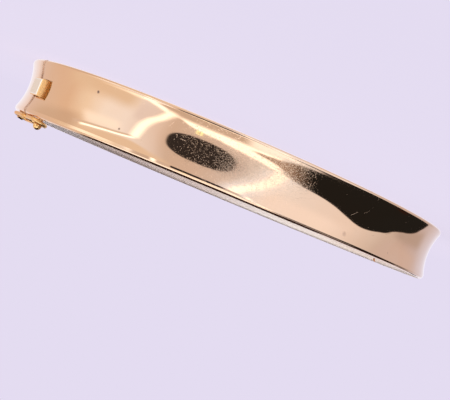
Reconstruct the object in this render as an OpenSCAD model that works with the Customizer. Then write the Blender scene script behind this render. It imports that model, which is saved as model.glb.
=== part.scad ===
// Hinged oval bangle, lying on its lower rim.
// +Z is up. The hinge is at -X, the clasp at +X, the back half at -Y and the front half at +Y.
// The origin is on the resting plane, in the middle of the oval.

/* [Band] */
// Outside length of the oval, from hinge to clasp
outer_length = 62; // [58:0.5:70]
// Outside breadth of the oval
outer_breadth = 53; // [50:0.5:56]
// Width of the band, from rim to rim
band_width = 7.2; // [6.8:0.1:8]
// Thickness of the band at its rims
rim_thickness = 2.2; // [2.2:0.05:2.6]
// How far the trough down the middle lies below the rims
trough_depth = 0.55; // [0.4:0.05:0.6]
// Radius of the trough across the band
trough_r = 8.2; // [7.8:0.1:8.4]
// Radius of the rounded outer rims
rim_r = 0.5; // [0.4:0.05:0.6]
// Radius of the rounded inner edges
inner_edge_r = 0.5; // [0.3:0.05:0.6]

/* [Hinge] */
// Gap between the two halves at each end
seam_gap = 0.4; // [0.2:0.05:0.4]
// How far the hinge axis lies inside the outer rims
hinge_inset = 0.65; // [0.6:0.05:0.75]
// Outside radius of a knuckle
knuckle_r = 0.9; // [0.85:0.05:0.95]
// Number of knuckles, counted over both halves
knuckle_count = 5; // [3:2:5]
// Gap between neighbouring knuckles
knuckle_gap = 0.1; // [0.06:0.02:0.14]
// Radius of the hinge pin
pin_r = 0.4; // [0.35:0.05:0.45]
// Radial clearance of the pin in the knuckles
pin_clearance = 0.03; // [0.02:0.01:0.05]
// How far the bangle opens, in degrees
opening_angle = 56; // [40:1:60]

/* [Box clasp] */
// Length of the tongue that enters the back half
tongue_length = 4.5; // [4:0.1:4.8]
// Width of the tongue
tongue_width = 3.4; // [3.2:0.1:3.6]
// Thickness of the tongue
tongue_t = 0.35; // [0.3:0.05:0.35]
// Width of the spring leaf above the tongue
leaf_width = 2.9; // [2.7:0.1:3]
// Thickness of the spring leaf
leaf_t = 0.25; // [0.2:0.05:0.25]
// Room between tongue and leaf at the thumb-piece
leaf_lift = 0.35; // [0.3:0.05:0.35]
// Length of the thumb-piece along the band
thumb_length = 2.7; // [2.5:0.05:2.8]
// Width of the thumb-piece across the band
thumb_width = 2.2; // [2:0.1:2.4]
// How far the thumb-piece stands out past the rims
thumb_proud = 0.25; // [0.15:0.05:0.3]

/* [Safety catch] */
// Radius of the wire of the figure-eight catch
wire_r = 0.24; // [0.22:0.01:0.25]
// Half the width of each loop, to the middle of the wire
loop_r = 0.92; // [0.9:0.01:0.96]
// Distance from the seam to the cross bar that the catch turns on
pivot_y = 4.2; // [3.8:0.05:4.4]
// Distance from the seam to the middle of the ball stud
stud_y = 2.8; // [2.4:0.1:3]
// Height of the catch above the upper rim
catch_height = 0.44; // [0.44:0.01:0.5]
// How far the catch leans out over the rim, in degrees
catch_lean = 10; // [6:1:10]
// Radius of the ball on the stud
ball_r = 0.54; // [0.5:0.01:0.54]
// Height of the middle of the ball above the upper rim
ball_height = 0.85; // [0.85:0.01:0.9]

/* [Hidden] */

gold = [0.87, 0.68, 0.54];
deep_gold = [0.80, 0.56, 0.38];

half_length = outer_length / 2;
half_breadth = outer_breadth / 2;
far = 3 * outer_length;
reach = 20;
over = 1;
through = band_width + 2 * over;
mid_z = band_width / 2;

// Four tangent arcs make the oval: one round each end and one along each side. The centre of an end
// arc, the centre of a side arc and the middle of the oval make a 3-4-5 triangle, of this unit.
centre_unit = (half_length - half_breadth) / 2;
end_centre_x = 3 * centre_unit;
end_arc_r = half_length - end_centre_x;
side_centre_y = 4 * centre_unit;
side_arc_r = half_breadth + side_centre_y;

// Hinge
hinge_x = -(half_length - hinge_inset);
knuckle_pitch = band_width / knuckle_count;
knuckle_clearance = 0.08;
relief_angle = opening_angle / 2 + 3;
relief_reach = 3;
pin_setback = 0.05;

// The tongue and its pocket are arcs about the hinge axis, so the tongue slides out on its own curve.
pocket_clearance = 0.06;
inner_wall = 0.32;
inner_face_x = half_length - rim_thickness;
tongue_in_r = inner_face_x + inner_wall + pocket_clearance - hinge_x;
tongue_out_r = tongue_in_r + tongue_t;
tongue_angle = asin(tongue_length / tongue_out_r);
tongue_root_angle = 0.6;
pocket_end_room = 0.25;
pocket_end_angle = asin((tongue_length + pocket_end_room) / tongue_out_r);

// Spring leaf, joined to the tip of the tongue, and its thumb-piece
fold_gap = 0.03;
fold_y = -(tongue_length - 0.3);
fold_x = hinge_x + sqrt(pow(tongue_out_r, 2) - fold_y * fold_y) + fold_gap + leaf_t / 2;
leaf_end_y = -0.45;
leaf_end_x = hinge_x + tongue_out_r + leaf_lift + leaf_t / 2;
thumb_back_y = -2.35;
leaf_seat_depth = 0.12;
thumb_seat_x = leaf_end_x - leaf_seat_depth;
thumb_top_x = half_length + thumb_proud;
thumb_chamfer = 0.2;
notch_side_room = 0.1;
notch_end_room = 0.95;
front_recess_room = 0.15;
front_recess_depth = 0.34;
front_recess_floor = thumb_seat_x - front_recess_depth;

// Safety catch
catch_inset = 0.2;
catch_x = half_length - rim_thickness / 2 - catch_inset;
catch_z = band_width + catch_height;
waist_y = loop_r + wire_r / 2;
corner_r = 0.45;
lug_r = 0.42;
lug_width = 0.7;
lug_root = 0.35;
bar_clearance = 0.03;
neck_r = 0.28;
stud_foot_r = 0.45;
stud_foot_height = 0.15;
stud_root = 0.4;

// Section of the band. x = 0 is the outermost line of the rims, and the inner face is at -rim_thickness.
module band_section() {
    half_t = rim_thickness / 2;
    difference() {
        union() {
            edge_rounds(-rim_thickness + inner_edge_r, inner_edge_r);
            edge_rounds(-rim_r, rim_r);
            translate([-rim_thickness, inner_edge_r]) square([half_t, band_width - 2 * inner_edge_r]);
            translate([-half_t, rim_r]) square([half_t, band_width - 2 * rim_r]);
            translate([-rim_thickness + inner_edge_r, 0])
                square([rim_thickness - inner_edge_r - rim_r, band_width]);
        }
        translate([trough_r - trough_depth, mid_z]) circle(r = trough_r, $fn = 192);
    }
}

// The rounds of one pair of edges, at the lower and the upper rim.
module edge_rounds(x, r) {
    for (z = [r, band_width - r]) translate([x, z]) circle(r = r, $fn = 48);
}

// A whole ring of the band about the point [x, y], cut down to the stretch inside an outline.
module arc_band(x, y, r, outline) {
    intersection() {
        translate([x, y, 0]) rotate_extrude($fn = 360) translate([r, 0]) band_section();
        translate([0, 0, -over]) linear_extrude(height = through) polygon(outline);
    }
}

// The half of the oval on the +Y side. The arcs meet on the lines that join their centres.
module half_oval() {
    side_centre = [0, -side_centre_y];
    right_join = side_centre + reach * [3, 4];
    left_join = side_centre + reach * [-3, 4];
    arc_band(0, -side_centre_y, side_arc_r, [side_centre, right_join, left_join]);
    arc_band(end_centre_x, 0, end_arc_r, [[end_centre_x, 0], [right_join[0], 0], right_join]);
    arc_band(-end_centre_x, 0, end_arc_r, [[-end_centre_x, 0], left_join, [left_join[0], 0]]);
}

// Cut back from the seam, and opened in a V outside the hinge axis so that the rims clear as it turns.
module trimmed_half() {
    difference() {
        half_oval();
        translate([-far / 2, -far + seam_gap / 2, -over]) cube([far, far, through]);
        translate([hinge_x, 0, -over]) linear_extrude(height = through)
            polygon(relief_reach * [[0, 0], [-1, tan(relief_angle)], [-1, -tan(relief_angle)]]);
    }
}

function knuckle_low(i) = i == 0 ? 0 : i * knuckle_pitch + knuckle_gap / 2;
function knuckle_high(i) = i == knuckle_count - 1 ? band_width : (i + 1) * knuckle_pitch - knuckle_gap / 2;

// Knuckles whose number is even belong to the back half, odd ones to the front half.
module knuckles(first) {
    for (i = [first : 2 : knuckle_count - 1])
        translate([hinge_x, 0, knuckle_low(i)])
            cylinder(r = knuckle_r, h = knuckle_high(i) - knuckle_low(i), $fn = 64);
}

// Room for the other half's knuckles.
module knuckle_room(first) {
    for (i = [first : 2 : knuckle_count - 1])
        translate([hinge_x, 0, i * knuckle_pitch - knuckle_gap / 2])
            cylinder(r = knuckle_r + knuckle_clearance, h = knuckle_pitch + knuckle_gap, $fn = 64);
}

module hinged_half(first_own, first_other) {
    difference() {
        union() {
            difference() {
                children();
                knuckle_room(first_other);
            }
            knuckles(first_own);
        }
        translate([hinge_x, 0, -over]) cylinder(r = pin_r + pin_clearance, h = through, $fn = 48);
    }
}

// A flat arc about the hinge axis, from one angle to another, centred on the middle of the band.
module clasp_arc(r_in, r_out, width, from, to) {
    translate([hinge_x, 0, mid_z - width / 2]) rotate([0, 0, from])
        rotate_extrude(angle = to - from, $fn = 360) translate([r_in, 0]) square([r_out - r_in, width]);
}

module tongue() {
    clasp_arc(tongue_in_r, tongue_out_r, tongue_width, -tongue_angle, tongue_root_angle);
}

// The pocket that takes the tongue and the leaf, open at the seam.
module pocket() {
    pocket_width = tongue_width + 2 * pocket_clearance;
    leaf_room = leaf_t / 2 + pocket_clearance;
    clasp_arc(tongue_in_r - pocket_clearance, tongue_out_r + pocket_clearance, pocket_width,
              -pocket_end_angle, 1);
    translate([0, 0, mid_z - pocket_width / 2]) linear_extrude(height = pocket_width)
        polygon([
            [fold_x - leaf_t, fold_y - leaf_room],
            [fold_x + leaf_room, fold_y - leaf_room],
            [leaf_end_x + leaf_room, leaf_end_y],
            [leaf_end_x + leaf_room, over],
            [leaf_end_x - leaf_lift - leaf_t, over]
        ]);
}

// The notch that the thumb-piece stands in, open at the seam and to the outside.
module thumb_notch() {
    notch_width = thumb_width + 2 * notch_side_room;
    notch_floor = fold_x;
    notch_length = -thumb_back_y + notch_end_room;
    translate([notch_floor, -notch_length, mid_z - notch_width / 2])
        cube([thumb_top_x - notch_floor + over, notch_length + over, notch_width]);
}

// The shallow recess in the front half's end, under the thumb-piece.
module thumb_recess() {
    recess_width = thumb_width + 2 * notch_side_room;
    recess_end = thumb_back_y + thumb_length + front_recess_room;
    translate([front_recess_floor, -over, mid_z - recess_width / 2])
        cube([thumb_top_x - front_recess_floor + over, recess_end + over, recess_width]);
}

// Ball stud, soldered to the upper rim, for the free loop of the catch.
module ball_stud() {
    translate([catch_x, -stud_y, band_width - stud_root]) {
        cylinder(r = stud_foot_r, h = stud_root + stud_foot_height, $fn = 48);
        cylinder(r = neck_r, h = stud_root + ball_height, $fn = 48);
        translate([0, 0, stud_root + ball_height]) sphere(r = ball_r, $fn = 64);
    }
}

// Places its children in the catch's own frame, with its cross bar along x and its length along y.
module catch_frame() {
    translate([catch_x, 0, catch_z]) rotate([0, catch_lean, 0]) children();
}

// Lug, soldered to the upper rim, that carries the cross bar of the catch.
module lug() {
    catch_frame() difference() {
        translate([-lug_width / 2, pivot_y, 0]) {
            rotate([0, 90, 0]) cylinder(r = lug_r, h = lug_width, $fn = 48);
            translate([0, -lug_r, -catch_height - lug_root])
                cube([lug_width, 2 * lug_r, catch_height + lug_root]);
        }
        translate([-lug_width, pivot_y, 0]) rotate([0, 90, 0])
            cylinder(r = wire_r + bar_clearance, h = 2 * lug_width, $fn = 48);
    }
}

module back_half() {
    color(gold) {
        hinged_half(0, 1) difference() {
            union() {
                mirror([0, 1, 0]) trimmed_half();
                ball_stud();
            }
            pocket();
            thumb_notch();
        }
    }
}

module front_half() {
    color(gold) {
        hinged_half(1, 0) union() {
            difference() {
                trimmed_half();
                thumb_recess();
            }
            tongue();
            lug();
        }
    }
}

module hinge_pin() {
    color(deep_gold) translate([hinge_x, 0, pin_setback])
        cylinder(r = pin_r, h = band_width - 2 * pin_setback, $fn = 48);
}

// Spring leaf with the thumb-piece soldered to its free end. It turns about the fold at the tongue's tip.
module thumb_piece() {
    color(deep_gold) {
        translate([0, 0, mid_z - leaf_width / 2]) linear_extrude(height = leaf_width) {
            translate([fold_x, fold_y]) circle(r = leaf_t / 2, $fn = 32);
            polygon([
                [fold_x - leaf_t / 2, fold_y],
                [fold_x + leaf_t / 2, fold_y],
                [leaf_end_x + leaf_t / 2, leaf_end_y],
                [leaf_end_x - leaf_t / 2, leaf_end_y]
            ]);
        }
        thumb_block();
    }
}

// The thumb-piece itself, with its four outer edges taken off at 45 degrees.
module thumb_block() {
    height = thumb_top_x - thumb_seat_x;
    translate([thumb_seat_x, thumb_back_y, mid_z]) difference() {
        translate([0, 0, -thumb_width / 2]) cube([height, thumb_length, thumb_width]);
        for (side = [-1, 1]) translate([height, thumb_length / 2, side * thumb_width / 2])
            edge_cutter([0, 45, 0], [thumb_chamfer, thumb_length, thumb_chamfer]);
        for (end = [0, thumb_length]) translate([height, end, 0])
            edge_cutter([0, 0, 45], [thumb_chamfer, thumb_chamfer, thumb_width]);
    }
}

// A square bar, turned by 45 degrees about an edge. The longest of the reach's three sizes is along the edge.
module edge_cutter(turn, reach) {
    rotate(turn) cube(reach * sqrt(2), center = true);
}

// A straight length of wire along y, in the catch's plane.
module side_wire(x, from, to) {
    translate([x, from, 0]) rotate([-90, 0, 0]) cylinder(r = wire_r, h = to - from, $fn = 32);
}

// A curved length of wire about a point of the catch's plane.
module wire_bend(x, y, r, from, to) {
    translate([x, y, 0]) rotate([0, 0, from])
        rotate_extrude(angle = to - from, $fn = 96) translate([r, 0]) circle(r = wire_r, $fn = 32);
}

// The loop with the straight cross bar that turns in the lug.
module bar_loop() {
    bar_end = loop_r - corner_r;
    bend_y = pivot_y - corner_r;
    translate([-bar_end, pivot_y, 0]) rotate([0, 90, 0])
        cylinder(r = wire_r, h = 2 * bar_end, $fn = 32);
    wire_bend(bar_end, bend_y, corner_r, 0, 90);
    wire_bend(-bar_end, bend_y, corner_r, 90, 180);
    for (side = [-1, 1]) side_wire(side * loop_r, waist_y, bend_y);
    wire_bend(0, waist_y, loop_r, 180, 360);
}

// The loop that drops over the ball stud.
module stud_loop() {
    wire_bend(0, -waist_y, loop_r, 0, 180);
    for (side = [-1, 1]) side_wire(side * loop_r, -stud_y, -waist_y);
    wire_bend(0, -stud_y, loop_r, 180, 360);
}

// Figure-eight catch: its two loops are soldered together where they touch.
module safety_catch() {
    color(deep_gold) catch_frame() {
        bar_loop();
        stud_loop();
    }
}

back_half();
front_half();
hinge_pin();
thumb_piece();
safety_catch();
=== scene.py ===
# %% [markdown]
# # A hinged bangle in polished rose gold
# The bangle is two half rings of gold with a hollowed outer face. A hinge joins them on one
# side, and a snap clasp with a safety catch closes the other. The solids come from the CAD
# model, so this lesson adds what the solids lack: the polish, the wear and the light.
# In polished metal nearly all that the eye sees is its surroundings, so most of the work
# here is the studio.

# %% Load the solids
import math

import bpy
from mathutils import Matrix, Vector

MM = 0.001

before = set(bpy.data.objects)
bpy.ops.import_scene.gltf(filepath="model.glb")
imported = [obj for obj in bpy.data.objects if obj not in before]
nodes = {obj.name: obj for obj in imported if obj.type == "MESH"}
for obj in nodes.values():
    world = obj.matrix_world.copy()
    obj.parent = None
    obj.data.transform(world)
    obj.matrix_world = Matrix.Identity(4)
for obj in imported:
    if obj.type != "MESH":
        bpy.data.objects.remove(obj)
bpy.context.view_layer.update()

# %% [markdown]
# ## The camera
# The photograph was taken with the camera almost level with the band, turned a little towards the
# clasp, and upside down with a tilt of its own. A "Track To" constraint can aim a camera but can't
# tilt it like that. So its three axes are worked out from three angles, and they become the
# columns of its matrix. The lens follows from how many pixels wide a thing looks that is as wide
# as it is far away.

# %% Camera
TURN, RISE, TILT = map(math.radians, (30.30, 0.74, 22.56))
DISTANCE = 145.9 * MM
ASIDE, LEVEL = -0.43 * MM, 7.43 * MM
LONG_SIDE_PX, FOCAL_PX, SENSOR_MM = 450, 1052.0, 36.0
NEAREST, FURTHEST = 5 * MM, 20.0

scene = bpy.context.scene
back = Vector((math.sin(TURN) * math.cos(RISE), -math.cos(TURN) * math.cos(RISE), math.sin(RISE)))
right = Vector((math.cos(TURN), math.sin(TURN), 0))
up = back.cross(right)
picture_right = -math.cos(TILT) * right - math.sin(TILT) * up
picture_up = math.sin(TILT) * right - math.cos(TILT) * up

camera = bpy.data.objects.new("camera", bpy.data.cameras.new("camera"))
scene.collection.objects.link(camera)
scene.camera = camera
camera.data.sensor_width = SENSOR_MM
camera.data.lens = FOCAL_PX / LONG_SIDE_PX * SENSOR_MM
camera.data.clip_start, camera.data.clip_end = NEAREST, FURTHEST
place = Matrix.Translation(right * ASIDE + Vector((0, 0, LEVEL)) + back * DISTANCE)
camera.matrix_world = place @ Matrix((picture_right, picture_up, back)).transposed().to_4x4()
print("camera at", [round(c / MM, 1) for c in camera.matrix_world.translation], "mm, lens",
      round(camera.data.lens, 1), "mm")

# %% [markdown]
# ## Colours as they are
# Blender's usual view transform softens bright colours as film does. The photograph has
# hard whites and a plain pale ground, so the "Standard" transform is nearer to it.

# %% Colour management
scene.view_settings.view_transform = "Standard"

# %% [markdown]
# ## Helpers for node trees
# Every finish and the sky are node trees. Making each node by hand takes four lines, so
# these helpers make one node, set or link its inputs in order, and hand back its output.

# %% Node helpers
def add(tree, kind, **settings):
    """A new node with its settings."""
    node = tree.nodes.new(kind)
    for key, value in settings.items():
        setattr(node, key, value)
    return node


def give(tree, socket, value):
    """Links a socket where value is another node's output, and sets it otherwise."""
    if isinstance(value, bpy.types.NodeSocket):
        tree.links.new(value, socket)
    else:
        socket.default_value = value


def feed(tree, node, *values):
    """Sets or links the inputs of a node in order; None leaves one alone."""
    for socket, value in zip(node.inputs, values):
        if value is not None:
            give(tree, socket, value)
    return node


def calc(tree, operation, *values):
    """A Math node's output."""
    return feed(tree, add(tree, "ShaderNodeMath", operation=operation), *values).outputs[0]


def product(tree, first, *others):
    """The values multiplied together."""
    for value in others:
        first = calc(tree, "MULTIPLY", first, value)
    return first


def largest(tree, first, *others):
    """The largest of the values."""
    for value in others:
        first = calc(tree, "MAXIMUM", first, value)
    return first


def calc_vector(tree, operation, *values):
    """A Vector Math node's output, the number or the vector that the operation gives."""
    node = feed(tree, add(tree, "ShaderNodeVectorMath", operation=operation), *values)
    gives_number = operation in ("DOT_PRODUCT", "LENGTH", "DISTANCE")
    return node.outputs["Value" if gives_number else "Vector"]


def parts_of(tree, vector):
    """The X, Y and Z of a vector."""
    return feed(tree, add(tree, "ShaderNodeSeparateXYZ"), vector).outputs


def fade(tree, value, low, high):
    """0 at low, 1 at high, smooth in between. High may be below low."""
    node = add(tree, "ShaderNodeMapRange", interpolation_type="SMOOTHSTEP")
    return feed(tree, node, value, low, high, 0.0, 1.0).outputs[0]


def mix(tree, share, first, second, kind="RGBA"):
    """The first colour (or vector) where share is 0, the second where it is 1."""
    node = add(tree, "ShaderNodeMix", data_type=kind)
    for name, value in (("Factor", share), ("A", first), ("B", second)):
        give(tree, next(s for s in node.inputs if s.name == name and s.enabled), value)
    return next(s for s in node.outputs if s.enabled)


# %% [markdown]
# ## The studio as a sky
# A jeweller photographs a bangle inside a pale tent, with strip lights, black cards and a
# hole for the lens, and the metal mirrors them all. Real lamps and cards in the scene would
# do it too, but each would have to be moved until its reflection fell in the right place.
# A mirror shows a direction, so the sky is painted by direction: the azimuth is counted from
# -Y towards +X and the elevation up from the floor, both in degrees. Each card is the space
# between two smooth lines, and a Float Curve node holds each line.

# %% Directions in degrees
HALF_TURN, FULL_TURN = 180.0, 360.0

sky_world = bpy.data.worlds.new("studio")
scene.world = sky_world
sky_world.use_nodes = True
sky = sky_world.node_tree
sky.nodes.clear()

looking = add(sky, "ShaderNodeTexCoord").outputs["Generated"]
direction = parts_of(sky, looking)
degrees = HALF_TURN / math.pi
round_about = calc(sky, "ARCTAN2", direction["X"], calc(sky, "MULTIPLY", direction["Y"], -1.0))
azimuth = calc(sky, "MULTIPLY", round_about, degrees)
elevation = calc(sky, "MULTIPLY", calc(sky, "ARCSINE", direction["Z"]), degrees)


# %% Lines and cards
def course(value, *points):
    """A smooth line through points (at, says), in degrees: what it says at value."""
    first, last = points[0][0], points[-1][0]
    share = feed(sky, add(sky, "ShaderNodeMapRange"), value, first, last, 0.0, 1.0).outputs[0]
    node = feed(sky, add(sky, "ShaderNodeFloatCurve"), None, share)
    curve = node.mapping.curves[0]
    # The node's curve says 0 to 1, which stands for -90 to 90 degrees.
    for number, (at, says) in enumerate(points):
        spot = (at - first) / (last - first), says / HALF_TURN + 0.5
        if 0 < number < len(points) - 1:
            curve.points.new(*spot)
        else:
            curve.points[0 if number == 0 else -1].location = spot
    node.mapping.update()
    return calc(sky, "MULTIPLY_ADD", node.outputs[0], HALF_TURN, -HALF_TURN / 2)


def above(line, by):
    """A line that many degrees above another, or below it where by is negative."""
    return calc(sky, "ADD", line, by)


def inside(value, low, high, soft):
    """1 between low and high, 0 outside, with edges that many degrees soft."""
    over_low = fade(sky, calc(sky, "SUBTRACT", value, low), -soft / 2, soft / 2)
    under_high = fade(sky, calc(sky, "SUBTRACT", high, value), -soft / 2, soft / 2)
    return product(sky, over_low, under_high)


def card(across, low, high, soft, end_soft):
    """A card from one azimuth to another, between a low and a high line."""
    return product(sky, inside(azimuth, *across, end_soft), inside(elevation, low, high, soft))


def strip(heights, middle, half_width, soft, end_soft):
    """An upright strip light, whose azimuth follows the line middle."""
    aside = calc(sky, "SUBTRACT", azimuth, middle)
    return product(sky, inside(elevation, *heights, end_soft),
                   inside(aside, -half_width, half_width, soft))


def light(level, tint=(1.0, 1.0, 1.0)):
    """The colour of a lamp or card: a tint made lighter or darker."""
    return tuple(level * t for t in tint) + (1.0,)


def hang(behind, shape, level, tint=(1.0, 1.0, 1.0)):
    """The sky behind, with a lamp or card of that light hung in front of it."""
    return mix(sky, shape, behind, light(level, tint))


# %% [markdown]
# The tent's cloth isn't the same all round. Behind the camera it is nearly white, near the
# lens it is shaded and tan, and at the clasp's side it turns to warm wood. A Color Ramp over
# the azimuth holds those few tones.

# %% The tent
TENT = ((-180, light(0.96, (0.99, 1.0, 1.12))), (-150, light(1.02, (1.0, 1.0, 1.14))),
        (-134, light(0.97, (0.98, 0.99, 1.16))), (-118, light(0.80, (0.96, 0.97, 1.18))),
        (-100, light(0.62, (1.0, 0.95, 1.10))), (-86, light(0.56, (1.06, 0.93, 0.98))),
        (-70, light(0.67, (1.0, 0.93, 0.95))), (-48, light(0.90, (1.0, 0.98, 1.06))),
        (-12, light(0.95, (0.98, 1.04, 1.20))), (6, light(0.77, (0.98, 1.0, 1.10))),
        (14, light(0.71, (1.0, 0.94, 1.0))), (46, light(0.69, (1.02, 0.90, 0.86))),
        (54, light(0.84, (1.0, 0.95, 1.0))), (76, light(0.99, (1.0, 1.03, 1.14))),
        (92, light(1.0, (1.01, 1.03, 1.10))), (106, light(0.92, (1.03, 0.95, 0.86))),
        (122, light(0.76, (1.06, 0.87, 0.74))), (150, light(0.74, (1.05, 0.88, 0.80))),
        (163, light(0.76, (1.03, 0.88, 0.84))), (170, light(0.92, (1.0, 0.96, 1.04))),
        (180, light(0.96, (0.99, 1.0, 1.12))))

ramp = add(sky, "ShaderNodeValToRGB")
ramp.color_ramp.interpolation = "LINEAR"
stops = ramp.color_ramp.elements
for number, (at, tone) in enumerate(TENT):
    spot = at / FULL_TURN + 0.5
    stop = stops[0] if number == 0 else stops[-1] if at == HALF_TURN else stops.new(spot)
    stop.position, stop.color = spot, tone
tent = feed(sky, ramp, calc(sky, "MULTIPLY_ADD", azimuth, 1 / FULL_TURN, 0.5)).outputs[0]
print("tent tones:", len(stops))

# %% [markdown]
# Now the lamps and cards are hung, from the widest to the smallest, each in front of the
# last. First come soft patches on the cloth: paler and darker ones low down, warm shade
# above the clasp's side, and the warm floor of the tent in front of it.

# %% Soft patches
# Azimuths, low and high elevation, softness of the edges and of the ends, level and tint
SOFT_PATCHES = (((-44, 0), -60.0, -20.0, 14, 20, 1.03, (0.98, 1.0, 1.12)),
                ((-104, -70), -40.0, -8.0, 8, 14, 0.64, (1.04, 0.93, 0.98)),
                ((-102, -76), -4.0, 6.0, 6, 10, 0.50, (1.04, 0.93, 0.95)),
                ((78, 106), -21.5, -9.0, 10, 8, 1.12, (1.0, 1.02, 1.06)),
                ((110, 158), -60.0, -15.0, 10, 22, 0.65, (1.06, 0.88, 0.76)))
colour = tent
for *shape, level, tint in SOFT_PATCHES:
    colour = hang(colour, card(*shape), level, tint)
warm_shade = product(sky, fade(sky, elevation, 6, 24), inside(azimuth, 74, 128, soft=14))
colour = hang(colour, warm_shade, 0.84, (1.0, 0.88, 0.76))
grey_shade = card((58, 71), 4, 30, soft=12, end_soft=5)
colour = hang(colour, grey_shade, 0.86, (1.0, 0.98, 1.08))
warm_floor_edge = course(azimuth, (34, -44), (46, -38), (56, -35), (64, -31), (72, -28),
                         (84, -27.5), (110, -27), (130, -22), (152, -18))
warm_floor = card((36, 112), -70.0, warm_floor_edge, soft=5.0, end_soft=12)
colour = hang(colour, warm_floor, 0.82, (1.04, 0.90, 0.77))
print("soft patches:", len(SOFT_PATCHES), "and three by name")

# %% [markdown]
# A strip light stands on each side of the lens. The long white streaks that they leave show
# how deep the band is hollowed. Each one leans, so its middle is a line too.

# %% Left strip light
WHITE = 1.8

left_middle = course(elevation, (-46, 11.6), (-40, 10.1), (-30, 5.6), (-20, 2.1), (-10, -1.0),
                     (0, -3.2), (10, -5.2))
pale_left = strip((-60, 9), left_middle, half_width=7.6, soft=8, end_soft=4)
colour = hang(colour, pale_left, 1.02, (0.94, 1.06, 1.32))
strip_left = strip((-60, 10.5), left_middle, half_width=3.1, soft=4.0, end_soft=4)
colour = hang(colour, strip_left, WHITE)

# %% [markdown]
# The tent's roof is a white panel over the lens, and the cloth beyond it is tan. The panel's
# lower edge climbs towards the clasp, a narrow gutter of light runs on from its end there,
# and a wooden frame darkens its other corner.

# %% Roof panel
beyond_low = course(azimuth, (2, 31), (50, 31.5), (70, 33.5), (90, 32), (112, 27))
beyond_roof = card((2, 112), beyond_low, 60.0, soft=2.5, end_soft=10)
colour = hang(colour, beyond_roof, 0.62, (1.04, 0.90, 0.82))
roof_low = course(azimuth, (-9, 8.5), (-3, 10.2), (2, 13.2), (6, 15), (12, 16.8), (16, 18.2),
                  (22, 20), (26, 21.4), (32, 22), (36, 23), (41, 25.5), (45, 29), (52, 29.3),
                  (62, 30))
roof_panel = card((-5, 60), roof_low, 30.2, soft=3.0, end_soft=6)
colour = hang(colour, roof_panel, WHITE)
bright_corner = card((-15, 12), 30.5, 60.0, soft=3.0, end_soft=8)
colour = hang(colour, bright_corner, 1.35, (0.94, 0.98, 1.05))

# %% Gutter and wooden frame
gutter = course(azimuth, (52, 30.2), (63, 31.4), (69, 31.9), (75, 30.8), (87, 29.8), (99, 28),
                (111, 26.5), (126, 25))
gutter_low, gutter_high = above(gutter, -1.0), above(gutter, 1.2)
long_gutter = card((66, 124), gutter_low, gutter_high, soft=2.0, end_soft=18)
colour = hang(colour, long_gutter, 1.35, (1.0, 0.98, 0.94))
gutter_start = card((54, 73), gutter_low, gutter_high, soft=1.6, end_soft=5)
colour = hang(colour, gutter_start, WHITE)
wooden_low = course(azimuth, (-16, 9), (-8, 14.5), (-4, 18.5), (2, 22), (12, 25.5), (18, 26.2))
wooden_high = course(azimuth, (-16, 29.8), (-8, 28.8), (-2, 28.2), (4, 27.6), (12, 27.4),
                     (18, 27.2))
wooden_frame = card((-16, 9), wooden_low, wooden_high, soft=2.6, end_soft=8)
colour = hang(colour, wooden_frame, 0.40, (1.1, 0.82, 0.70))

# %% Right strip light and thin strip
THIN_WHITE = 2.0

right_middle = course(elevation, (-27, 69), (-18, 66.6), (-10, 65), (0, 62.9), (10, 59.4),
                      (18, 55.2), (25, 52.6), (31, 51))
strip_right = strip((-22, 31), right_middle, half_width=3.0, soft=5.0, end_soft=4)
colour = hang(colour, strip_right, WHITE)
thin_middle = course(azimuth, (66, -22.8), (75, -24.9), (81, -25.5), (90, -25.8), (110, -25.6))
thin_shade = card((70, 114), thin_middle, above(thin_middle, 3.6), soft=1.6, end_soft=6)
colour = hang(colour, thin_shade, 0.74, (1.04, 0.92, 0.86))
thin_strip = card((67, 109), above(thin_middle, -1.0), above(thin_middle, 0.9), soft=1.4,
                  end_soft=5)
colour = hang(colour, thin_strip, THIN_WHITE)

# %% [markdown]
# The black card keeps the gold from looking washed out. Its lower edge hangs in an S, its
# end on the lamp's side is frayed, so a noise moves that end about, and a brown tone lies
# between the black and the white.

# %% Black card
FRAY_SCALE, FRAY_DETAIL, FRAY_ROUGHNESS, FRAY_REACH = 55.0, 3.0, 0.7, 22.0

black_low = course(azimuth, (-101, 10), (-97, 8.6), (-91, 5), (-85, 3.2), (-79, 2), (-73, -0.4),
                   (-69, -4), (-64, -6.8), (-56, -10.5), (-50, -10.7), (-43, -7.4), (-37, -3.2),
                   (-31, 0.4), (-25, 3), (-16, 6), (-8, 9.6), (-2, 13))
black_high = course(azimuth, (-101, 11), (-91, 15.2), (-79, 19), (-67, 22.8), (-61, 24.2),
                    (-55, 25.2), (-49, 26.5), (-37, 28.4), (-25, 29.5), (-13, 29.8), (-2, 28.5))
flutter = feed(sky, add(sky, "ShaderNodeTexNoise"), looking, None,
               FRAY_SCALE, FRAY_DETAIL, FRAY_ROUGHNESS).outputs[0]
frayed = calc(sky, "MULTIPLY_ADD", calc(sky, "SUBTRACT", flutter, 0.5), FRAY_REACH, azimuth)
card_shape = card((-101, 2), black_low, black_high, soft=1.2, end_soft=1)
brown_end = product(sky, card_shape, fade(sky, frayed, -4.0, -11.0))
colour = hang(colour, brown_end, 0.24, (1.15, 0.84, 0.70))
black_card = product(sky, card_shape, fade(sky, frayed, -10.0, -19.0))
colour = hang(colour, black_card, 0.016)

# %% [markdown]
# The lens and its mount are a dark shape between a circle and a square. A circle is the line
# where x squared plus y squared is 1, and a higher power squares it up. A small yellow lamp
# shows over it.

# %% Lens and yellow lamp
LENS_AT, LENS_HALF, SQUARENESS = (31.3, -6.2), (15.8, 18.4), 2.6
LENS_ENDS, LENS_FULL = 1.12, 0.9

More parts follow.
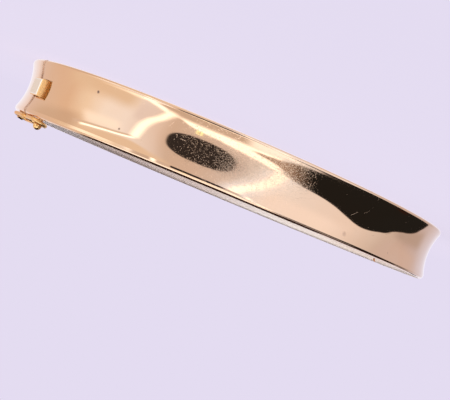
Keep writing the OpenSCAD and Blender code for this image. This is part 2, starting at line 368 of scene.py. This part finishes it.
powers = []
for angle, at, half in zip((azimuth, elevation), LENS_AT, LENS_HALF):
    aside = calc(sky, "DIVIDE", calc(sky, "ABSOLUTE", calc(sky, "SUBTRACT", angle, at)), half)
    powers.append(calc(sky, "POWER", aside, SQUARENESS))
lens = fade(sky, calc(sky, "ADD", *powers), LENS_ENDS, LENS_FULL)
colour = hang(colour, lens, 0.035, (1.0, 0.9, 0.95))
yellow_lamp = card((33.4, 36.6), 17.0, 22.8, soft=1.6, end_soft=1.2)
colour = hang(colour, yellow_lamp, 1.6, (0.9, 0.95, 0.55))
lamp_middle = card((34.5, 35.6), 18.6, 21.0, soft=1.0, end_soft=0.6)
colour = hang(colour, lamp_middle, 0.7, (1.0, 0.85, 0.6))

# %% [markdown]
# High up the tent is open. On the clasp's side a bright room shows there, and over all of it
# hangs a dark ceiling. The rounded rims mirror the ceiling as the fine black line that runs
# along the band, so the ceiling's own edge goes up and down until that line lies right. At
# the hinge a thin dark edge of the tent shows below it.

# %% Open top and dark ceiling
open_top = card((-26, 112), 40.5, 95.0, soft=3.0, end_soft=14)
colour = hang(colour, open_top, 1.5, (1.0, 1.0, 1.02))
edge_low = course(azimuth, (-132, 11), (-106, 18.5), (-96, 18))
edge_high = course(azimuth, (-132, 15), (-106, 26), (-96, 32))
dark_edge = card((-132, -96), edge_low, edge_high, soft=1.5, end_soft=4)
colour = hang(colour, dark_edge, 0.05, (1.3, 0.9, 0.8))
ceiling = course(azimuth, (-180, 42), (-171, 38), (-165, 20), (-158, 10), (-148, 12), (-138, 30),
                 (-125, 46), (-113, 50), (-106, 43), (-99, 33), (-90, 20), (-80, 16), (-70, 19),
                 (-60, 24), (-52, 33), (-44, 37), (-34, 38), (-28, 38), (-22, 40), (-16, 47),
                 (-8, 57), (0, 64), (60, 66), (110, 57), (150, 53), (165, 50), (180, 42))
above_ceiling = fade(sky, calc(sky, "SUBTRACT", elevation, ceiling), -0.6, 1.0)
colour = hang(colour, above_ceiling, 0.018, (1.6, 0.7, 0.55))

# %% [markdown]
# The camera itself sees none of this. The Light Path node tells its rays from the mirrored
# ones, and they get the plain lilac ground of the photograph.

# %% Plain ground for the camera
GROUND = (0.776, 0.716, 0.879, 1.0)

seen_directly = add(sky, "ShaderNodeLightPath").outputs["Is Camera Ray"]
colour = mix(sky, seen_directly, colour, GROUND)
background = feed(sky, add(sky, "ShaderNodeBackground"), colour).outputs[0]
feed(sky, add(sky, "ShaderNodeOutputWorld"), background)
print("sky nodes:", len(sky.nodes))

# %% [markdown]
# ## What wears on gold
# Years of wear leave three things on polished gold: hairline scratches that run every way,
# small dents where the band is knocked most, and a faint haze. Real scratch maps would be
# images, so each effect is built from noise instead. All three metals use them, so each is
# a node group, built once and placed with its own values.

# %% Node groups
def new_group(name, inputs, outputs):
    """An empty shader group, what goes into it, and the node that takes its results."""
    group = bpy.data.node_groups.new(name, "ShaderNodeTree")
    for side, sockets in (("INPUT", inputs), ("OUTPUT", outputs)):
        for label, kind, *start in sockets:
            socket = group.interface.new_socket(name=label, in_out=side,
                                                socket_type="NodeSocket" + kind)
            if start:
                socket.default_value = start[0]
    print("group", name, "takes", [i[0] for i in inputs], "and gives", [o[0] for o in outputs])
    return group, group.nodes.new("NodeGroupInput").outputs, group.nodes.new("NodeGroupOutput")


def use(tree, group, values):
    """A group placed in a tree, with its inputs set or linked by name: its outputs."""
    node = add(tree, "ShaderNodeGroup", node_tree=group)
    for name, value in values.items():
        give(tree, node.inputs[name], value)
    return node.outputs


# %% [markdown]
# Scratches and dents both start from the Voronoi texture, which cuts space into cells. Only
# a share of the cells holds a mark, and some marks are fainter than others, so each cell
# draws its own number from a White Noise node.

# %% Cells
SMALLEST_SHARE = 0.001


def cells_of(tree, place, size):
    """A Voronoi texture node with cells of about that size."""
    node = add(tree, "ShaderNodeTexVoronoi")
    tree.links.new(place, node.inputs["Vector"])
    tree.links.new(calc(tree, "DIVIDE", 1.0, size), node.inputs["Scale"])
    return node


def some_of(tree, cells, share):
    """How strong the mark in a cell is: 0 in all but that share of the cells."""
    draw = feed(tree, add(tree, "ShaderNodeTexWhiteNoise"), cells.outputs["Position"]).outputs[0]
    return fade(tree, draw, calc(tree, "MAXIMUM", share, SMALLEST_SHARE), 0.0)


# %% [markdown]
# A hairline scratch is a short straight line. Each cell gets a plane through its middle that
# faces a random way. Where that plane meets the metal there is a thin line that ends at the
# cell's wall, so cell size is scratch length.

# %% Hairlines
hairlines, given, result = new_group(
    "hairlines", [("Place", "Vector"), ("Length", "Float", 1 * MM), ("Width", "Float", 0.01 * MM),
                  ("Share", "Float", 0.5)], [("Mask", "Float")])
cells = cells_of(hairlines, given["Place"], given["Length"])
facing = calc_vector(hairlines, "SUBTRACT", cells.outputs["Color"], (0.5, 0.5, 0.5))
facing = calc_vector(hairlines, "NORMALIZE", facing)
from_middle = calc_vector(hairlines, "SUBTRACT", given["Place"], cells.outputs["Position"])
aside = calc(hairlines, "ABSOLUTE", calc_vector(hairlines, "DOT_PRODUCT", from_middle, facing))
line = fade(hairlines, aside, given["Width"], 0.0)
feed(hairlines, result, product(hairlines, line, some_of(hairlines, cells, given["Share"])))

# %% [markdown]
# A dent is a round spot in the middle of a smaller cell. Its distance to the cell's middle
# comes from the same texture, counted in cell sizes.

# %% Dents
DENT_RADIUS, DENT_FLOOR = 0.5, 0.15

dents, given, result = new_group(
    "dents", [("Place", "Vector"), ("Spacing", "Float", 0.3 * MM), ("Share", "Float", 0.5)],
    [("Mask", "Float")])
cells = cells_of(dents, given["Place"], given["Spacing"])
dent = fade(dents, cells.outputs["Distance"], DENT_RADIUS, DENT_FLOOR)
feed(dents, result, product(dents, dent, some_of(dents, cells, given["Share"])))

# %% [markdown]
# The worn gold itself puts these together. Polished gold has no texture of its own: it
# shows wear by scattering light, so the scratches mostly raise the roughness and dip the
# surface, and only a little colour changes where the alloy is a shade deeper.

# %% Noise and sums
def noise(tree, place, size, detail):
    """A Noise texture's output, with clouds of about that size."""
    node = add(tree, "ShaderNodeTexNoise")
    for name, value in (("Vector", place), ("Scale", 1 / size), ("Detail", detail)):
        give(tree, node.inputs[name], value)
    return node.outputs[0]


def sum_of(tree, start, *pairs):
    """start plus each value times its weight."""
    for value, weight in pairs:
        start = calc(tree, "MULTIPLY_ADD", value, weight, start)
    return start


# %% Worn gold
CLOUD_SIZE, RIPPLE_SIZE = 7 * MM, 3.2 * MM
CLOUD_ROUGHENS, MARKS_ROUGHEN, WEAR_ROUGHENS = 0.012, 0.32, 0.02
MARKS_DEEPEN, MARK_HEIGHT, RIPPLE_HEIGHT = 0.25, -0.0035, 0.006
# Each kind of mark: its group and sizes, and its share of the cells by wear and always
MARKS = ((hairlines, {"Length": 0.8 * MM, "Width": 0.010 * MM}, 0.5, 0.03),
         (hairlines, {"Length": 0.20 * MM, "Width": 0.012 * MM}, 1.6, -0.1),
         (dents, {"Spacing": 0.09 * MM}, 1.6, -0.12))

worn_gold, given, result = new_group(
    "worn gold", [("Place", "Vector"), ("Tone", "Color"), ("Deep tone", "Color"),
                  ("Polish", "Float", 0.05), ("Wear", "Float", 0.1)],
    [("Colour", "Color"), ("Roughness", "Float"), ("Height", "Float")])
masks = []
for group, sizes, by_wear, always in MARKS:
    share = calc(worn_gold, "MULTIPLY_ADD", given["Wear"], by_wear, always)
    mark = use(worn_gold, group, {"Place": given["Place"], "Share": share, **sizes})
    masks.append(mark["Mask"])
marks = largest(worn_gold, *masks)
cloud = fade(worn_gold, noise(worn_gold, given["Place"], CLOUD_SIZE, 3.0), 0.35, 0.65)
ripple = noise(worn_gold, given["Place"], RIPPLE_SIZE, 1.0)

tone = mix(worn_gold, cloud, given["Tone"], given["Deep tone"])
tone = mix(worn_gold, product(worn_gold, marks, MARKS_DEEPEN), tone, given["Deep tone"])
roughness = sum_of(worn_gold, given["Polish"], (cloud, CLOUD_ROUGHENS), (marks, MARKS_ROUGHEN),
                   (given["Wear"], WEAR_ROUGHENS))
height = sum_of(worn_gold, 0.0, (marks, MARK_HEIGHT), (ripple, RIPPLE_HEIGHT))
feed(worn_gold, result, tone, roughness, height)

# %% [markdown]
# ## The band's true curve
# The solid's mesh is made of flat facets, and where two of its faces meet, the shading
# jumps a little: in polished metal that cuts a reflection in two. The oval is four arcs,
# so the direction away from their centres is known at every point. This group turns the
# normal to that direction and keeps its slope, which makes the reflections run smoothly.
# The end arcs' centres lie on the X axis and the side arcs' on the Y axis, and an end arc
# starts where the line through both centres crosses the oval.

# %% Which way is out
END_CENTRE, SIDE_CENTRE = 6.75 * MM, 9.0 * MM

true_oval, given, result = new_group("true oval", [("Place", "Vector"), ("Normal", "Vector")],
                                     [("Normal", "Vector"), ("Inside", "Float")])
quarter = parts_of(true_oval, calc_vector(true_oval, "ABSOLUTE", given["Place"]))
past_centre = calc(true_oval, "SUBTRACT", quarter["X"], END_CENTRE)
at_end = calc(true_oval, "GREATER_THAN", product(true_oval, past_centre, SIDE_CENTRE / END_CENTRE),
              quarter["Y"])
at_side = calc(true_oval, "SUBTRACT", 1.0, at_end)
out_x = calc(true_oval, "MULTIPLY_ADD", at_end, -END_CENTRE, quarter["X"])
out_y = calc(true_oval, "MULTIPLY_ADD", at_side, SIDE_CENTRE, quarter["Y"])
outward = feed(true_oval, add(true_oval, "ShaderNodeCombineXYZ"), out_x, out_y).outputs[0]
which_quarter = calc_vector(true_oval, "SIGN", given["Place"])
outward = calc_vector(true_oval, "MULTIPLY", outward, which_quarter)
outward = calc_vector(true_oval, "NORMALIZE", outward)
along = calc_vector(true_oval, "DOT_PRODUCT", given["Normal"], outward)

# %% [markdown]
# The rims were burnished by hand, so their rounds aren't quite the solid's: the hollow runs
# on almost to the edge, and there it turns over in less than half a millimetre. The upper
# rim's round at the clasp's side starts with a slope of its own, which changes again near
# the seam. A slope here is the Z of the normal, counted towards the nearer rim: below 0 in
# the hollow, 1 on the rim's flat face.

# %% The rims' rounds
BAND_WIDTH = 7.2 * MM
MIDDLE_Z, RIM_ZONE = BAND_WIDTH / 2, 0.7 * MM
FACES_OUT, FACES_RIM = 0.05, -0.1
START_SLOPE, ROUND_WIDTH, ROUND_END = -0.33, 0.32 * MM, 0.03 * MM
# What the clasp's side adds to these three, where it lies, and what the seam's side adds
CLASP_SLOPE, CLASP_WIDTH, CLASP_END = 0.40, 0.18 * MM, -0.03 * MM
CLASP_FROM, CLASP_TO = 9 * MM, 15 * MM
SEAM_SLOPE, SEAM_FROM, SEAM_TO = 0.25, 19 * MM, 22.5 * MM
STEEPEST = 0.99

slope = parts_of(true_oval, given["Normal"])["Z"]
above_middle = calc(true_oval, "SUBTRACT", quarter["Z"], MIDDLE_Z)
side = calc(true_oval, "SIGN", above_middle)
from_edge = calc(true_oval, "SUBTRACT", MIDDLE_Z, calc(true_oval, "ABSOLUTE", above_middle))
on_round = product(
    true_oval, calc(true_oval, "LESS_THAN", from_edge, RIM_ZONE),
    calc(true_oval, "GREATER_THAN", along, FACES_OUT),
    calc(true_oval, "GREATER_THAN", product(true_oval, slope, side), FACES_RIM))

x = parts_of(true_oval, given["Place"])["X"]
to_clasp = product(true_oval, fade(true_oval, x, CLASP_FROM, CLASP_TO),
                   calc(true_oval, "GREATER_THAN", side, 0.0))
to_seam = product(true_oval, to_clasp, fade(true_oval, x, SEAM_FROM, SEAM_TO))
starts_at = sum_of(true_oval, START_SLOPE, (to_clasp, CLASP_SLOPE), (to_seam, SEAM_SLOPE))
width = calc(true_oval, "MULTIPLY_ADD", to_clasp, CLASP_WIDTH, ROUND_WIDTH)
edge = calc(true_oval, "MULTIPLY_ADD", to_clasp, CLASP_END, ROUND_END)
run = calc(true_oval, "DIVIDE", calc(true_oval, "SUBTRACT", from_edge, edge), width)
rises = largest(true_oval, calc(true_oval, "SUBTRACT", 1.0, run), starts_at)
burnished = product(true_oval, calc(true_oval, "MINIMUM", rises, STEEPEST), side)
change = calc(true_oval, "SUBTRACT", burnished, slope)
new_slope = calc(true_oval, "MULTIPLY_ADD", on_round, change, slope)

# %% [markdown]
# A normal is one unit long, so its slope says how long it is on the level. The new one takes
# the outward direction for its level part. It is used only where the mesh's own normal faces
# nearly the same way, so the clasp's and the knuckles' faces keep theirs. The group also
# tells the inside of the band, where the normal faces the other way.

# %% The smooth normal
NEAR_ENOUGH = math.cos(math.radians(2.5))
INSIDE_FROM, INSIDE_TO = 0.0, -0.15


def level_of(a_slope):
    """How long a normal of that slope is on the level."""
    squared = product(true_oval, a_slope, a_slope)
    return calc(true_oval, "SQRT", calc(true_oval, "SUBTRACT", 1.0, squared))


in_or_out = calc(true_oval, "SIGN", along)
scale = add(true_oval, "ShaderNodeVectorMath", operation="SCALE")
give(true_oval, scale.inputs["Vector"], outward)
give(true_oval, scale.inputs["Scale"], product(true_oval, in_or_out, level_of(new_slope)))
upright = feed(true_oval, add(true_oval, "ShaderNodeCombineXYZ"), 0.0, 0.0, new_slope).outputs[0]
smooth = calc_vector(true_oval, "ADD", scale.outputs["Vector"], upright)
fits = calc(true_oval, "GREATER_THAN", calc(true_oval, "ABSOLUTE", along),
            product(true_oval, level_of(slope), NEAR_ENOUGH))
in_world = add(true_oval, "ShaderNodeVectorTransform", vector_type="NORMAL",
               convert_from="OBJECT", convert_to="WORLD")
feed(true_oval, in_world, mix(true_oval, fits, given["Normal"], smooth, "VECTOR"))
feed(true_oval, result, in_world.outputs[0], fade(true_oval, along, INSIDE_FROM, INSIDE_TO))

# %% [markdown]
# ## The golds
# The band is a pale rose gold, polished like a mirror outside and left satin inside, where
# it touches the skin. It is worn most on the side that shows in the photograph, so wear is
# higher around a few places there and on the rims. The clasp was finished by hand: deeper
# in colour, softer in polish.

# %% A gold material
def gold(name, polish, tone, deep_tone):
    """A metal material, its node tree, shader and coordinates, and values for its worn gold."""
    material = bpy.data.materials.new(name)
    material.use_nodes = True
    tree = material.node_tree
    shader = tree.nodes["Principled BSDF"]
    shader.inputs["Metallic"].default_value = 1.0
    spot = add(tree, "ShaderNodeTexCoord").outputs
    values = {"Place": spot["Object"], "Polish": polish, "Tone": (*tone, 1.0),
              "Deep tone": (*deep_tone, 1.0)}
    return material, tree, shader, spot, values


def finish_gold(tree, shader, colour, roughness, height, normal=None):
    """Links what a gold shows to its shader, with the height as a bump in millimetres."""
    bump = add(tree, "ShaderNodeBump")
    bump.inputs["Distance"].default_value = MM
    tree.links.new(height, bump.inputs["Height"])
    if normal is not None:
        tree.links.new(normal, bump.inputs["Normal"])
    tree.links.new(colour, shader.inputs["Base Color"])
    tree.links.new(roughness, shader.inputs["Roughness"])
    tree.links.new(bump.outputs["Normal"], shader.inputs["Normal"])


# %% Band gold
BAND_POLISH, BAND_TONE, BAND_DEEP_TONE = 0.04, (0.93, 0.67, 0.47), (0.93, 0.64, 0.43)
RIM, EVEN_WEAR, RIM_WEAR = 0.55 * MM, 0.06, 0.12
FULL_WITHIN = 0.2
# The middle and radius of each worn place and pit, in millimetres, and how strong it is
WORN_PLACES = (((15.5, -22.9, 3.6), 7.5, 0.16), ((10.4, -25.0, 4.0), 4.2, 0.75),
               ((14.2, -23.6, 3.8), 3.2, 0.70), ((6.9, -25.8, 2.8), 4.0, 0.75),
               ((18.2, -21.6, 3.6), 3.4, 0.20))
PITS = (((27.60, -11.68, 1.8), 0.26, 0.9), ((-2.0, -26.25, 6.0), 0.45, 0.22),
        ((24.99, -15.30, 4.9), 0.20, 0.7), ((-10.4, -24.7, 6.0), 0.18, 0.3))

band_gold, tree, shader, spot, values = gold("band_gold", BAND_POLISH, BAND_TONE, BAND_DEEP_TONE)


def near(middle, radius):
    """1 in the middle of a ball, 0 at its radius, both in millimetres."""
    apart = calc_vector(tree, "DISTANCE", spot["Object"], tuple(c * MM for c in middle))
    return fade(tree, apart, radius * MM, radius * MM * FULL_WITHIN)


parts = parts_of(tree, spot["Object"])
from_middle = calc(tree, "ABSOLUTE", calc(tree, "SUBTRACT", parts["Z"], MIDDLE_Z))
on_rim = fade(tree, from_middle, MIDDLE_Z - RIM, MIDDLE_Z - RIM / 3)
wear = sum_of(tree, EVEN_WEAR, (on_rim, RIM_WEAR),
              *((near(middle, radius), share) for middle, radius, share in WORN_PLACES))
worn = use(tree, worn_gold, {**values, "Wear": wear})
oval = use(tree, true_oval, {"Place": spot["Object"], "Normal": spot["Normal"]})
colour, roughness, height = worn["Colour"], worn["Roughness"], worn["Height"]
print("band: worn at", len(WORN_PLACES), "places, pits:", len(PITS))

# %% [markdown]
# The inside keeps the fine lines of the file and the felt, which run along the band. Noise that is
# squeezed across the band gives such lines. Towards the two ends of the oval the inside is painted
# paler, a painted highlight for the light it shows there. What is soldered on the upper rim has
# the clasp's tone.

# %% Inside
INSIDE_GOLD, INSIDE_PAINTED_LIGHT = (0.86, 0.73, 0.66, 1.0), (1.0, 0.93, 0.88, 1.0)
PAINTED_LIGHT_FROM, PAINTED_LIGHT_TO = 6 * MM, 20 * MM
SQUEEZED, LINES_SIZE, LINES_DETAIL, LINES_HEIGHT = (1.0, 1.0, 8.0), 1.5 * MM, 4.0, 0.002
SATIN, SATIN_VARIES = 0.55, 0.2
CLASP_TONE, SOLDER = (0.98, 0.62, 0.27), 0.05 * MM

squeezed = calc_vector(tree, "MULTIPLY", spot["Object"], SQUEEZED)
brushed = noise(tree, squeezed, LINES_SIZE, LINES_DETAIL)
satin = calc(tree, "MULTIPLY_ADD", brushed, SATIN_VARIES, SATIN)
# Painted light: the inside is painted paler towards the ends of the oval.
painted_light_at_ends = fade(tree, calc(tree, "ABSOLUTE", parts["X"]), PAINTED_LIGHT_FROM, PAINTED_LIGHT_TO)
inside_tone = mix(tree, painted_light_at_ends, INSIDE_GOLD, INSIDE_PAINTED_LIGHT)
colour = mix(tree, oval["Inside"], colour, inside_tone)
height = product(tree, height, calc(tree, "SUBTRACT", 1.0, oval["Inside"]))
height = sum_of(tree, height, (product(tree, brushed, oval["Inside"]), LINES_HEIGHT))
soldered_on = fade(tree, parts["Z"], BAND_WIDTH, BAND_WIDTH + SOLDER)
colour = mix(tree, soldered_on, colour, (*CLASP_TONE, 1.0))

# %% [markdown]
# Along the seam the gold beside the gap is painted brown: painted shade where the two halves meet.
# Small brown spots are painted at the pits. Both browns are made non-metal, so there the shader's
# Metallic value drops and the brown shows as it would on paint. The seam's own two walls are
# painted a lighter gold than the band: painted light, so the light bounced between them shows
# brown in the gap rather than black.

# %% Seam and pits
BROWN, SEAM_SHADE = (0.10, 0.05, 0.03, 1.0), (0.46, 0.26, 0.14, 1.0)
SEAM_WALL_LIGHT, SEAM_HALF = (0.97, 0.74, 0.52, 1.0), 0.2 * MM
# Where the seam's painted shade and its lighter walls fade out and are full, in halves of the seam
BROWN_ENDS, BROWN_FULL, WALL_ENDS, WALL_FULL = 2.7, 1.1, 1.05, 1.01
SEAM_SHADE_SHARE, SEAM_SHADE_NOT_METAL = 0.8, 0.85

at_clasp = fade(tree, parts["X"], 20 * MM, 22 * MM)
from_seam = calc(tree, "DIVIDE", calc(tree, "ABSOLUTE", parts["Y"]), SEAM_HALF)
seam = product(tree, at_clasp, fade(tree, from_seam, BROWN_ENDS, BROWN_FULL))
seam_wall = product(tree, at_clasp, fade(tree, from_seam, WALL_ENDS, WALL_FULL))
pit_spots = largest(tree, *(product(tree, near(middle, radius), share)
                       for middle, radius, share in PITS))
# Painted shade: brown along the seam where the halves meet.
colour = mix(tree, product(tree, seam, SEAM_SHADE_SHARE), colour, SEAM_SHADE)
# Painted light: the seam's walls are a lighter gold than the band.
colour = mix(tree, seam_wall, colour, SEAM_WALL_LIGHT)
# Small brown spots at the pits.
colour = mix(tree, pit_spots, colour, BROWN)
not_metal = largest(tree, pit_spots, product(tree, seam, SEAM_SHADE_NOT_METAL))

# %% [markdown]
# The rims' flat faces were filed and never polished, so they are rough, and their colour is
# painted paler: painted light that keeps them light tan. They are found by their normal, which
# points straight up or down. Each finish that is duller than polish gives the roughness a least
# value, and the largest of them counts.

# %% Filed rims, and the band's finish
FLAT_FACE_PAINTED_LIGHT, FLAT_FROM, FLAT_TO = (1.0, 0.84, 0.68, 1.0), 0.985, 0.997
BROWN_ROUGHNESS, SOLDERED_ROUGHNESS, FILED_ROUGHNESS = 0.5, 0.2, 0.85

lies_flat = calc(tree, "ABSOLUTE", parts_of(tree, spot["Normal"])["Z"])
flat_faces = fade(tree, lies_flat, FLAT_FROM, FLAT_TO)
# Painted light: the flat faces' colour is painted a paler gold.
colour = mix(tree, flat_faces, colour, FLAT_FACE_PAINTED_LIGHT)
roughness = largest(tree, roughness, product(tree, oval["Inside"], satin),
                    product(tree, not_metal, BROWN_ROUGHNESS),
                    product(tree, soldered_on, SOLDERED_ROUGHNESS),
                    product(tree, flat_faces, FILED_ROUGHNESS))
finish_gold(tree, shader, colour, roughness, height, oval["Normal"])
tree.links.new(calc(tree, "SUBTRACT", 1.0, not_metal), shader.inputs["Metallic"])

# %% [markdown]
# The thumb-piece and the catch are too small to mirror anything clearly, and fingers keep them
# satin rather than bright. The thumb-piece's outer face is painted paler than its sides: a painted
# reflection of a bright lamp. The face is the part that lies furthest out along X.

# %% Clasp gold and pin gold
OUTER_FACE_X, HIGHLIGHT_FADE, OUTER_FACE_HIGHLIGHT = 31.1 * MM, 0.1 * MM, (1.0, 0.93, 0.80, 1.0)
# Name, polish, tone, deep tone and wear
SIMPLE_GOLDS = (("clasp_gold", 0.34, CLASP_TONE, (0.95, 0.54, 0.21), 0.06),
                ("pin_gold", 0.20, (0.93, 0.60, 0.33), (0.86, 0.48, 0.22), 0.3))

simple_golds = {}
for name, polish, tone, deep_tone, wear in SIMPLE_GOLDS:
    material, tree, shader, spot, values = gold(name, polish, tone, deep_tone)
    worn = use(tree, worn_gold, {**values, "Wear": wear})
    out = parts_of(tree, spot["Object"])["X"]
    # Painted highlight: the thumb-piece's outer face is painted paler than its sides.
    outer_face_highlight = fade(tree, out, OUTER_FACE_X, OUTER_FACE_X + HIGHLIGHT_FADE)
    colour = mix(tree, outer_face_highlight, worn["Colour"], OUTER_FACE_HIGHLIGHT)
    finish_gold(tree, shader, colour, worn["Roughness"], worn["Height"])
    simple_golds[name] = material

# %% Give the solids their golds
GOLD_OF = {"back_half": band_gold, "front_half": band_gold, "hinge_pin": simple_golds["pin_gold"],
           "thumb_piece": simple_golds["clasp_gold"], "safety_catch": simple_golds["clasp_gold"]}
for name, material in GOLD_OF.items():
    slots = nodes[name].data.materials
    for number in range(len(slots)):
        slots[number] = material
    print(name, "is now", material.name)

# %% [markdown]
# ## The ground
# The photograph's ground is one even lilac with no edge and next to no shadow. A floor
# that is only lit would be darker near the bangle and show a horizon. So the floor glows
# with the ground's own colour, and only a little of its brightness comes from the light
# that falls on it. Further out it is the plain ground colour, so that its edge can't be
# seen. The metal doesn't mirror this floor but the tent's lower half.

# %% Ground
FLOOR_RADIUS, FLOOR_CORNERS = 3.0, 96
SHARE_LIT, LIT_GAIN, PAPER_TINT = 0.10, 1.95, (0.95, 0.88, 1.0)
FADES_FROM, FADES_TO = 45 * MM, 120 * MM

bpy.ops.mesh.primitive_circle_add(vertices=FLOOR_CORNERS, radius=FLOOR_RADIUS, fill_type="NGON")
floor = bpy.context.object
floor.name = "floor"
floor.visible_glossy = False
paper = bpy.data.materials.new("paper")
paper.use_nodes = True
tree = paper.node_tree
tree.nodes.clear()
lit_tone = light(LIT_GAIN * SHARE_LIT, PAPER_TINT)
lit = feed(tree, add(tree, "ShaderNodeBsdfDiffuse"), lit_tone).outputs[0]
glow = feed(tree, add(tree, "ShaderNodeEmission"), GROUND, 1.0 - SHARE_LIT).outputs[0]
plain = feed(tree, add(tree, "ShaderNodeEmission"), GROUND, 1.0).outputs[0]
both = feed(tree, add(tree, "ShaderNodeAddShader"), lit, glow).outputs[0]
from_bangle = calc_vector(tree, "LENGTH", add(tree, "ShaderNodeNewGeometry").outputs["Position"])
far_out = fade(tree, from_bangle, FADES_FROM, FADES_TO)
mixed = feed(tree, add(tree, "ShaderNodeMixShader"), far_out, both, plain).outputs[0]
feed(tree, add(tree, "ShaderNodeOutputMaterial"), mixed)
floor.data.materials.append(paper)
